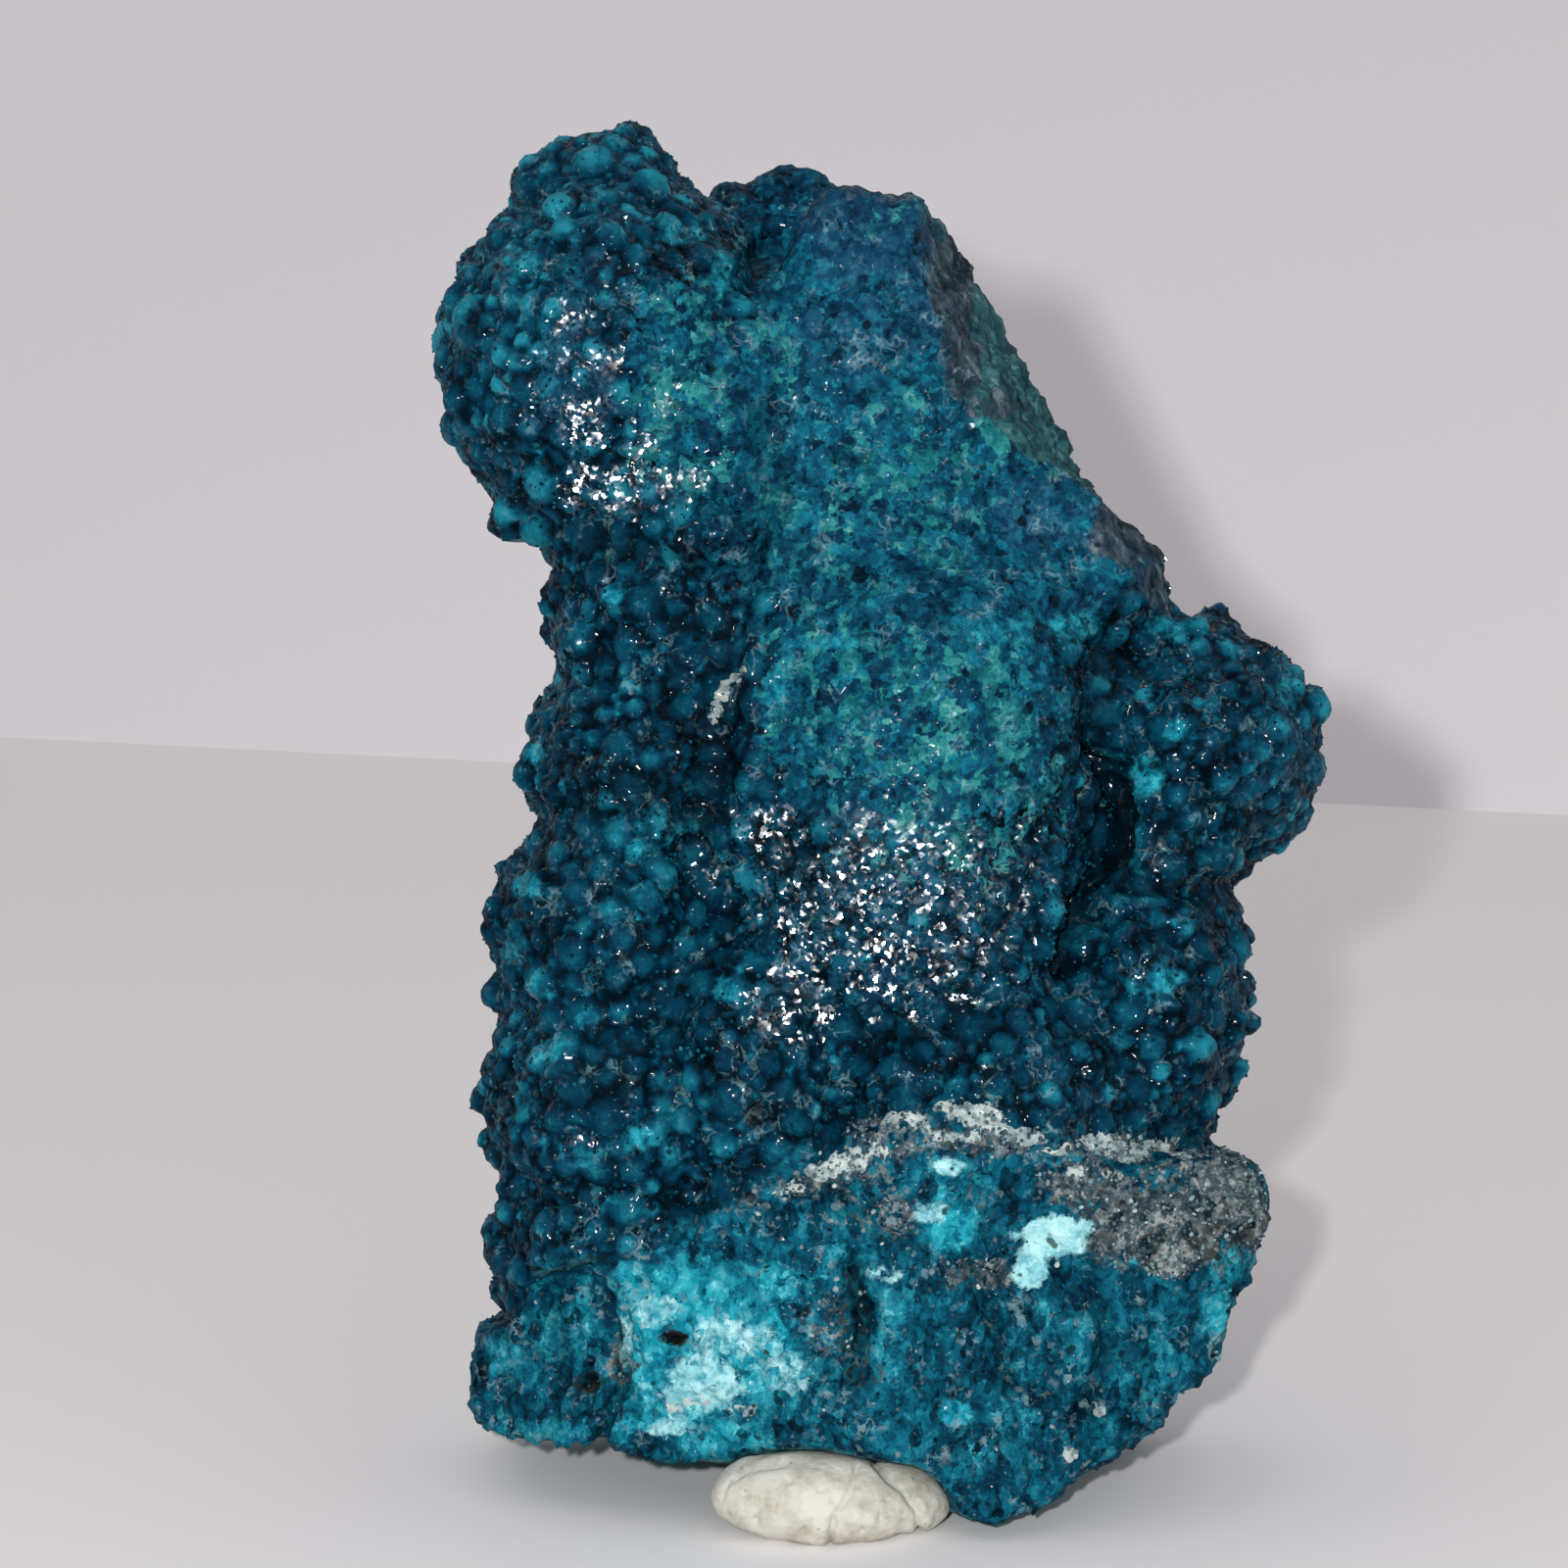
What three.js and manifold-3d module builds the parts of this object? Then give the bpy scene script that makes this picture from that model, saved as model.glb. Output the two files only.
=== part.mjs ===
// Raw malachite: one grown stone with a beaded blue-green crust, propped on a kneaded lump of mounting putty.
//
// Millimetres, +Z up. The stone is laid out in its face frame, as seen from the front: x to the right, y away
// from the viewer and z up the face. The face frame then leans back and stands on the floor, z = 0.
import * as THREE from "three";
import { ConvexGeometry } from "three/addons/geometries/ConvexGeometry.js";
import { mergeVertices } from "three/addons/utils/BufferGeometryUtils.js";
import Module from "manifold-3d";

const wasm = await Module();
wasm.setup();

// Driving dimensions
const leanBack = THREE.MathUtils.degToRad(12);
const frontReach = 8.5; // how far in front of the face frame's middle the floor meets the foot of the face
const beadRadius = 1.05; // a large bead of the crust
const beadSpacing = 2.52;
const beadSink = 0.25; // how far a bead's centre lies under the lobe that it grows on
const beadedDepth = 3.4; // how far back round the sides the beads reach
const lumpiness = 0.035;
const breakOverlap = 0.5; // how far the crust stops behind the broken face of the base
const puttyGap = 0.3;

// The lobes of the stone. at is the centre and size the three radii, each across, back and up.
// beads names the side of the lobe that carries beads: the way it faces, and the least cosine to that way.
const lobes = [
  {
    at: [-8.4, -0.9, 41.3], size: [6.2, 6.2, 6.1], detail: 2,
    beads: { toward: [-1, -0.35, 0.25], least: 0.15 },
  },
  { at: [-9.1, -0.6, 46.5], size: [3.1, 2.9, 2.5], detail: 1, beads: { toward: [0, -0.2, 1], least: 0.1 } },
  {
    at: [-9.8, -0.6, 37.8], size: [3.6, 5.0, 3.5], detail: 1,
    beads: { toward: [-1, -0.3, -0.5], least: 0.3 },
  },
  { at: [-5.2, -0.8, 39.6], size: [4.7, 5.7, 5.9], detail: 1 },
  { at: [-4.5, 2.6, 45.3], size: [2.3, 2.4, 2.3], detail: 1 },
  { at: [-2.6, 2.2, 46.7], size: [1.6, 1.5, 1.6], detail: 1 },
  { at: [-7.0, -0.2, 33.0], size: [4.2, 5.3, 6.0], detail: 1, beads: { toward: [-1, -0.5, 0], least: 0.2 } },
  { at: [-7.5, -0.2, 27.0], size: [4.3, 6.1, 5.4], detail: 2, beads: { toward: [-1, -0.6, 0], least: 0.1 } },
  { at: [-8.4, -0.3, 21.2], size: [4.6, 6.4, 5.4], detail: 2, beads: { toward: [-1, -0.7, 0], least: 0.1 } },
  { at: [-8.8, -0.5, 15.6], size: [4.4, 6.8, 5.6], detail: 2, beads: { toward: [-1, -0.7, 0], least: 0.1 } },
  {
    at: [-9.0, -0.2, 10.4], size: [4.1, 6.3, 5.4], detail: 2,
    beads: { toward: [-1, -0.3, 0.1], least: 0.3 },
  },
  { at: [-3.4, -0.2, 29.0], size: [4.5, 6.9, 10], detail: 1 },
  { at: [2.2, -0.9, 28.8], size: [7.3, 7.9, 8.2], detail: 2 },
  { at: [1.6, -1.2, 22.9], size: [6.9, 7.6, 8.0], detail: 2 },
  {
    at: [-4.0, -0.9, 16.6], size: [4.8, 7.1, 6.4], detail: 2,
    beads: { toward: [-0.2, -1, 0.1], least: 0.8 },
  },
  { at: [3.9, -1.3, 16.0], size: [6.6, 7.3, 5.6], detail: 2, beads: { toward: [0, -1, 0.1], least: 0.82 } },
  { at: [7.6, -0.8, 33.3], size: [2.9, 5.0, 2.9], detail: 1 },
  { at: [11.1, -0.6, 28.2], size: [4.0, 4.8, 4.1], detail: 2, beads: { toward: [1, -0.5, 0], least: 0 } },
  { at: [13.3, 0.4, 27.0], size: [2.4, 3.0, 3.4], detail: 1 },
  { at: [10.1, -0.2, 23.6], size: [3.2, 4.4, 3.3], detail: 1 },
  { at: [9.4, -1.0, 19.0], size: [3.6, 5.5, 5.6], detail: 2, beads: { toward: [1, -0.6, 0], least: 0.1 } },
  { at: [0.5, 3.6, 22], size: [9.5, 5.5, 15], detail: 1 },
];

// The broken slab at the upper right: corners of its block, across, back and up. A break trims its face.
const slabCorners = [
  [-2.9, -7, 44.9], [-1.2, -7, 47.1], [2.2, -7, 46.7], [7.6, -8, 37.0], [9.6, -8, 33.0],
  [-2.2, -9, 31.0], [-4.6, -7, 37.0],
  [-1.8, 3.5, 46.5], [2.3, 4.2, 46.4], [7.4, 5.0, 37.6], [9.4, 5.2, 33.0], [-4.5, 5.0, 31.0],
];
// The chip off its right edge leaves a bevel that is widest halfway down.
const chipCorners = [
  [1.7, -12, 48], [0.7, -12, 40.9], [4.7, -12, 38.1], [8.0, -12, 36.3], [14, -12, 48],
  [2.5, 1.5, 47], [5.8, 1.5, 40.9], [7.6, 1.5, 38.1], [8.2, 1.5, 36.4], [14, 1.5, 48],
];

// The outline of the broken base, seen from the front, across and up. Its top follows the crust's lower edge.
const baseOutline = [
  [-13.3, 4.2], [-13.7, 5.0], [-13.6, 7.0], [-11.9, 9.6], [-8.4, 10.7], [-6.3, 11.9], [-2.9, 13.3],
  [-0.5, 14.6], [2.2, 15.5], [3.9, 14.9], [7.3, 14.2], [10.8, 13.9], [13.2, 13.3], [13.5, 12.1],
  [13.0, 9.8], [12.1, 8.4], [11.8, 7.1], [10.4, 5.4], [8.4, 3.6], [7.6, 2.9], [6.4, 2.5], [5.8, 1.8],
  [3.9, 1.3], [2.6, 1.3], [0.4, 2.4], [-2.3, 3.0], [-5.3, 3.2], [-8.3, 3.6], [-8.9, 4.2], [-10.0, 3.8],
  [-12.9, 3.9],
];
const baseFront = -16; // well in front of the break that trims it
const baseBack = 9;

// The breaks that trim the stone: the part of the face frame that each covers, across and up, the size of its
// facets, how rough it is and how far its cutter reaches in front of the stone or behind it.
const breaks = {
  slab: { from: [-8, 27], to: [13, 50], step: 2.6, roughness: 0.4, far: -16 },
  base: { from: [-18, -4], to: [18, 17], step: 2.6, roughness: 0.7, far: -20 },
  back: { from: [-18, -4], to: [18, 52], step: 3.5, roughness: 1.5, far: 16 },
};

// The lump of putty: the radii of its rolled parts, where they lie on the floor and how far each one tips.
const puttyRolls = [
  { at: [-1.83, -4.15, 1.2], size: [3.62, 1.95, 1.5], tip: THREE.MathUtils.degToRad(4) },
  { at: [1.0, -3.4, 1.04], size: [1.68, 1.7, 1.08], tip: THREE.MathUtils.degToRad(18) },
];

// A repeatable number from 0 to 1 for each place.
function chance(x, y, z) {
  const wave = Math.sin(x * 12.9898 + y * 78.233 + z * 37.719) * 43758.5453;
  return wave - Math.floor(wave);
}

// Slow swells over a few millimetres, from -1 to 1.
function swell(x, y, z) {
  return (
    Math.sin(0.9 * x + 1.3 * z + 0.4) * Math.sin(1.1 * y - 0.7 * z + 1.1) * 0.6 +
    Math.sin(2.1 * x - 1.7 * y + 0.9 * z) * 0.4
  );
}

function withSharedCorners(geometry) {
  const bare = geometry.index ? geometry.toNonIndexed() : geometry.clone();
  bare.deleteAttribute("normal");
  bare.deleteAttribute("uv");
  return mergeVertices(bare, 1e-4);
}

function solidOf(geometry) {
  const merged = withSharedCorners(geometry);
  return new wasm.Manifold(
    new wasm.Mesh({
      numProp: 3,
      vertProperties: new Float32Array(merged.attributes.position.array),
      triVerts: new Uint32Array(merged.index.array),
    }),
  );
}

function geometryOf(solid) {
  const mesh = solid.getMesh();
  const geometry = new THREE.BufferGeometry();
  geometry.setAttribute("position", new THREE.BufferAttribute(new Float32Array(mesh.vertProperties), 3));
  geometry.setIndex(new THREE.BufferAttribute(new Uint32Array(mesh.triVerts), 1));
  const flat = geometry.toNonIndexed();
  flat.computeVertexNormals();
  return flat;
}

function joinAll(solids) {
  return solids.reduce((sum, next) => sum.add(next));
}

// How far a point lies outside a lobe.
function outsideLobe(point, { at, size }) {
  const reach = Math.hypot(
    (point.x - at[0]) / size[0], (point.y - at[1]) / size[1], (point.z - at[2]) / size[2],
  );
  return (reach - 1) * Math.min(...size);
}

// The height of the broken base's upper edge.
function baseTop(x) {
  return 11.5 + 0.12 * x;
}

function lobeSolid({ at, size, detail }) {
  const geometry = new THREE.IcosahedronGeometry(1, detail);
  const position = geometry.attributes.position;
  const point = new THREE.Vector3();
  const radii = new THREE.Vector3(...size);
  const centre = new THREE.Vector3(...at);
  for (let i = 0; i < position.count; i += 1) {
    point.fromBufferAttribute(position, i).multiply(radii);
    point.multiplyScalar(1 + lumpiness * swell(point.x + at[0], point.y, point.z + at[2])).add(centre);
    position.setXYZ(i, point.x, point.y, point.z);
  }
  return solidOf(geometry);
}

// Beads stand on the lobes along golden-angle spirals, wherever they would show.
function makeBeads() {
  const goldenAngle = Math.PI * (3 - Math.sqrt(5));
  const leastGap = 0.85 * beadSpacing;
  const beads = [];
  const taken = [];
  for (const lobe of lobes.filter(({ beads: beaded }) => beaded)) {
    const meanRadius = Math.cbrt(lobe.size[0] * lobe.size[1] * lobe.size[2]);
    const count = Math.round((4 * Math.PI * meanRadius ** 2) / beadSpacing ** 2);
    const side = new THREE.Vector3(...lobe.beads.toward).normalize();
    for (let i = 0; i < count; i += 1) {
      const up = 1 - (2 * i + 1) / count;
      const ring = Math.sqrt(1 - up * up);
      const way = new THREE.Vector3(ring * Math.cos(i * goldenAngle), ring * Math.sin(i * goldenAngle), up);
      const foot = way.clone().multiply(new THREE.Vector3(...lobe.size)).add(new THREE.Vector3(...lobe.at));
      const facing = way.dot(side) >= lobe.beads.least;
      const covered = lobes.some((other) => other !== lobe && outsideLobe(foot, other) < -beadSink);
      const crowded = taken.some((other) => other.distanceTo(foot) < leastGap);
      if (!facing || covered || crowded || foot.y > beadedDepth || foot.z < baseTop(foot.x)) continue;
      taken.push(foot.clone());
      const radius = beadRadius * (0.85 + 0.3 * chance(i, lobe.at[0], lobe.at[2]));
      const bead = new THREE.IcosahedronGeometry(radius, 0);
      bead.rotateX(i);
      bead.rotateZ(2 * i);
      foot.addScaledVector(way, -beadSink);
      bead.translate(foot.x, foot.y, foot.z);
      beads.push(solidOf(bead));
    }
  }
  return beads;
}

// A block that cuts along an uneven break: its near side follows depthAt, its far side is flat.
function breakCutter({ from, to, step, roughness, far }, depthAt) {
  const width = to[0] - from[0];
  const height = to[1] - from[1];
  const geometry = new THREE.BoxGeometry(
    width, 2, height, Math.round(width / step), 1, Math.round(height / step),
  );
  geometry.translate((from[0] + to[0]) / 2, 0, (from[1] + to[1]) / 2);
  const position = geometry.attributes.position;
  const stoneSide = Math.sign(-far);
  const jog = 0.6 * step;
  for (let i = 0; i < position.count; i += 1) {
    const onGrid = [Math.round(10 * position.getX(i)), Math.round(10 * position.getZ(i))];
    const x = position.getX(i) + jog * (chance(...onGrid, 1) - 0.5);
    const z = position.getZ(i) + jog * (chance(...onGrid, 2) - 0.5);
    const near = Math.sign(position.getY(i)) === stoneSide;
    position.setXYZ(i, x, near ? depthAt(x, z) + roughness * (chance(...onGrid, 3) - 0.5) : far, z);
  }
  return solidOf(geometry);
}

// The break across the lower front bows forward in the middle and leans under toward the foot.
function baseFace(x, z) {
  return -5.2 - 0.22 * z + 0.0195 * (x - 2) ** 2 + 0.3 * Math.sin(1.1 * z + 0.5 * x);
}

// The slab's face runs down into the dome.
function slabFace(x, z) {
  return -4.5 - 0.13 * (47 - z) - 0.012 * Math.max(38 - z, 0) ** 2 + 0.02 * x * x;
}

// The back is where the stone came off the rock, in coarse steps.
function backFace(x, z) {
  return 7.6 - 0.075 * z - 0.006 * x * x + 0.9 * Math.sin(0.55 * x + 0.3 * z);
}

function slopedFloor() {
  const floor = new THREE.BoxGeometry(90, 90, 20);
  floor.translate(0, 0, -10 + frontReach * Math.sin(leanBack));
  floor.rotateX(leanBack);
  return solidOf(floor);
}

function baseBlock() {
  const outline = new THREE.Shape(baseOutline.map(([x, z]) => new THREE.Vector2(x, z)));
  const block = new THREE.ExtrudeGeometry(outline, { depth: baseBack - baseFront, bevelEnabled: false });
  block.rotateX(Math.PI / 2);
  block.translate(0, baseBack, 0);
  return solidOf(block);
}

function convex(corners) {
  return solidOf(new ConvexGeometry(corners.map((corner) => new THREE.Vector3(...corner))));
}

function makeStone() {
  const baseTrim = breakCutter(breaks.base, baseFace);
  const slab = convex(slabCorners).subtract(convex(chipCorners)).subtract(breakCutter(breaks.slab, slabFace));
  const base = baseBlock();
  const behindBreak = baseTrim.translate([0, breakOverlap, 0]).intersect(base);
  const crust = joinAll([...lobes.map(lobeSolid), ...makeBeads()]).subtract(behindBreak);
  const whole = joinAll([crust, slab, base.subtract(baseTrim)]);
  return whole.subtract(breakCutter(breaks.back, backFace)).subtract(slopedFloor());
}

function rollGeometry({ at, size, tip }, detail, grown = 0) {
  const roll = new THREE.IcosahedronGeometry(1, detail);
  roll.scale(...size.map((radius) => radius + grown));
  roll.rotateY(tip);
  roll.translate(...at);
  return roll;
}

function cornersOf(geometry) {
  const { position } = geometry.attributes;
  return Array.from({ length: position.count }, (_, i) => (
    new THREE.Vector3().fromBufferAttribute(position, i)
  ));
}

// The foot of the stone is broken away over the putty, so that the putty stands clear in front of it.
function makeSeat() {
  const toViewer = new THREE.Vector3(0, -Math.cos(leanBack), Math.sin(leanBack)).multiplyScalar(8);
  return joinAll(puttyRolls.map((roll) => {
    const corners = cornersOf(rollGeometry(roll, 1, puttyGap));
    const swept = corners.map((corner) => corner.clone().add(toViewer));
    return solidOf(new ConvexGeometry([...corners, ...swept]));
  }));
}

// The putty is rolled on the floor and pressed flat under the stone.
function makePutty(stone) {
  const floor = new THREE.BoxGeometry(40, 40, 10);
  floor.translate(0, 0, -5);
  const lowered = stone.translate([0, -puttyGap, -puttyGap]);
  const rolls = joinAll(puttyRolls.map((roll) => solidOf(rollGeometry(roll, 2))));
  return rolls.subtract(solidOf(floor)).subtract(stone).subtract(lowered);
}

const specimen = new THREE.Group();
const faceFrame = new THREE.Group();
faceFrame.rotation.x = -leanBack;
faceFrame.position.z = -frontReach * Math.sin(leanBack);
specimen.add(faceFrame);

const facePlace = new THREE.Matrix4().makeTranslation(0, 0, faceFrame.position.z);
facePlace.multiply(new THREE.Matrix4().makeRotationX(-leanBack));
const seat = geometryOf(makeSeat()).applyMatrix4(facePlace.invert());
const stone = new THREE.Mesh(
  geometryOf(makeStone().subtract(solidOf(seat))),
  new THREE.MeshStandardMaterial({ color: 0x0e4a60, roughness: 0.35, metalness: 0 }),
);
stone.name = "malachite_stone";
faceFrame.add(stone);
faceFrame.updateMatrixWorld(true);

const standingStone = solidOf(stone.geometry.clone().applyMatrix4(stone.matrixWorld));
const putty = new THREE.Mesh(
  geometryOf(makePutty(standingStone)),
  new THREE.MeshStandardMaterial({ color: 0xd5d3c6, roughness: 0.85, metalness: 0 }),
);
putty.name = "putty_lump";
specimen.add(putty);

// The origin is under the middle of the whole, on the floor.
const bounds = new THREE.Box3().setFromObject(specimen, true);
const middle = bounds.getCenter(new THREE.Vector3());
specimen.position.set(-middle.x, -middle.y, 0);

export default specimen;
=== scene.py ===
# Raw malachite: a beaded blue-green copper stone under a skin of clear quartz, propped on a lump of mounting putty
import math

import bmesh
import bpy
import numpy as np
from mathutils import Matrix, Vector, noise
from mathutils.bvhtree import BVHTree
from mathutils.kdtree import KDTree


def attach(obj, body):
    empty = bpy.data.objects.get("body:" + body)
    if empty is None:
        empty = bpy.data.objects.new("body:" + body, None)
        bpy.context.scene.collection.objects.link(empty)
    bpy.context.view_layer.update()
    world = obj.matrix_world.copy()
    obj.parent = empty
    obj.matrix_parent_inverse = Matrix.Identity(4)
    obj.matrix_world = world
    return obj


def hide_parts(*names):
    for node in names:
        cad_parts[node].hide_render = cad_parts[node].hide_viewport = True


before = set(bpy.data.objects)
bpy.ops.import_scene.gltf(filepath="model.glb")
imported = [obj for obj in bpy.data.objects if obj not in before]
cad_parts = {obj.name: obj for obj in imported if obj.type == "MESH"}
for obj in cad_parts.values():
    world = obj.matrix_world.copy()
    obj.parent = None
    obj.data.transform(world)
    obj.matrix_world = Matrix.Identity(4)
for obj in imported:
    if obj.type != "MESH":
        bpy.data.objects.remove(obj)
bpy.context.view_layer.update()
mm = 0.001

# The photograph and the stone's face. The face is the plane that the photo looks at squarely: across, back, up, in mm
photo = {
    "width": 1600,
    "pixelsPerMm": 29.3,       # from the putty lump, which is about 8 mm wide
    "faceMiddle": (885, 1577), # where the face frame's origin lies in the photo
    "distance": 250.0,         # lens to the middle of the face
}
face = {
    "lean": math.radians(12),            # the stone leans back, and the lens looks down, by this much
    "origin": (-0.2631, -3.8477, -1.7673), # the face frame's origin in the part's frame
}


# One place for colours: sRGB hex to the linear values that the shader wants
def linear(hexColour, alpha=1.0):
    parts = [int(hexColour[i:i + 2], 16) / 255 for i in (1, 3, 5)]
    return [c / 12.92 if c <= 0.04045 else ((c + 0.055) / 1.055) ** 2.4 for c in parts] + [alpha]


# Points in metres, in the part's own frame, to the face frame in mm: across, back, up
def toFace(points):
    p = np.asarray(points) / mm - np.array(face["origin"])
    c, s = math.cos(face["lean"]), math.sin(face["lean"])
    return np.stack([p[:, 0], p[:, 1] * c - p[:, 2] * s, p[:, 1] * s + p[:, 2] * c], 1)


def fromFace(points):
    p = np.atleast_2d(np.asarray(points, float))
    c, s = math.cos(face["lean"]), math.sin(face["lean"])
    row = np.stack([p[:, 0], p[:, 1] * c + p[:, 2] * s, p[:, 2] * c - p[:, 1] * s], 1)
    return (row + np.array(face["origin"])) * mm


# How far the lens stands to the side of the face frame's origin and above it, in mm
def lensPlace():
    middle = photo["width"] / 2
    across = (middle - photo["faceMiddle"][0]) / photo["pixelsPerMm"]
    up = (photo["faceMiddle"][1] - middle) / photo["pixelsPerMm"]
    return across, up


# Where the lens sees a point of the face frame, in photo pixels across and down
def toPixels(faced):
    middle = photo["width"] / 2
    scale = photo["pixelsPerMm"]
    across, up = lensPlace()
    near = photo["distance"] / (photo["distance"] + faced[:, 1])
    return np.stack([
        middle + (faced[:, 0] - across) * near * scale,
        middle - (faced[:, 2] - up) * near * scale,
    ], 1)


def smoothStep(low, high, value):
    t = np.clip((value - low) / (high - low), 0, 1)
    return t * t * (3 - 2 * t)


# Noise at each point, from about -1 to 1; size is the width of a lump in mm
def noiseAt(points, size, seed=0.0):
    shift = Vector((seed * 13.7, seed * 7.3, seed * 3.1))
    return np.array([noise.noise(Vector(p) / size + shift) for p in points])


# How far each point lies in soft ovals, from 0 to 1; ragged frays their edges
def ovals(pixels, places, ragged):
    total = np.zeros(len(pixels))
    for x, y, halfWide, halfHigh, strength in places:
        reach = np.hypot((pixels[:, 0] - x) / halfWide, (pixels[:, 1] - y) / halfHigh) + ragged
        total = np.maximum(total, strength * (1 - smoothStep(0.6, 1.15, reach)))
    return total


# How near each point comes to a line drawn through places on the photo, in pixels
def nearLine(pixels, line):
    nearest = np.full(len(pixels), 1e9)
    for (x0, y0), (x1, y1) in zip(line, line[1:]):
        along = np.array([x1 - x0, y1 - y0], float)
        t = np.clip(((pixels - (x0, y0)) @ along) / (along @ along), 0, 1)
        nearest = np.minimum(nearest, np.hypot(*(pixels - (x0, y0) - t[:, None] * along).T))
    return nearest


def pointsOf(mesh):
    co = np.empty(len(mesh.vertices) * 3, np.float32)
    mesh.vertices.foreach_get("co", co)
    return co.reshape(-1, 3).astype(float)


def normalsOf(mesh):
    normal = np.empty(len(mesh.vertices) * 3, np.float32)
    mesh.vertex_normals.foreach_get("vector", normal)
    return normal.reshape(-1, 3).astype(float)


def setPoints(mesh, points):
    mesh.vertices.foreach_set("co", points.astype(np.float32).ravel())
    mesh.update()


def setAttribute(mesh, name, values):
    attribute = mesh.attributes.get(name) or mesh.attributes.new(name, "FLOAT", "POINT")
    attribute.data.foreach_set("value", np.asarray(values, np.float32))


def newObject(name, mesh):
    made = bpy.data.objects.new(name, mesh)
    bpy.context.scene.collection.objects.link(made)
    return made


# Puts modifiers on an object one after another and makes each final
def applyModifiers(obj, *wanted):
    for kind, settings in wanted:
        modifier = obj.modifiers.new(kind, kind)
        for key, value in settings.items():
            setattr(modifier, key, value)
        evaluated = obj.evaluated_get(bpy.context.evaluated_depsgraph_get())
        made = bpy.data.meshes.new_from_object(evaluated)
        obj.modifiers.clear()
        old = obj.data
        obj.data = made
        bpy.data.meshes.remove(old)


def copyOfNode(node, name):
    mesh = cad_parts[node].data.copy()
    mesh.materials.clear()
    mesh.transform(Matrix.Scale(1 / mm, 4))  # remeshing works better in mm than in metres
    return newObject(name, mesh)


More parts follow.
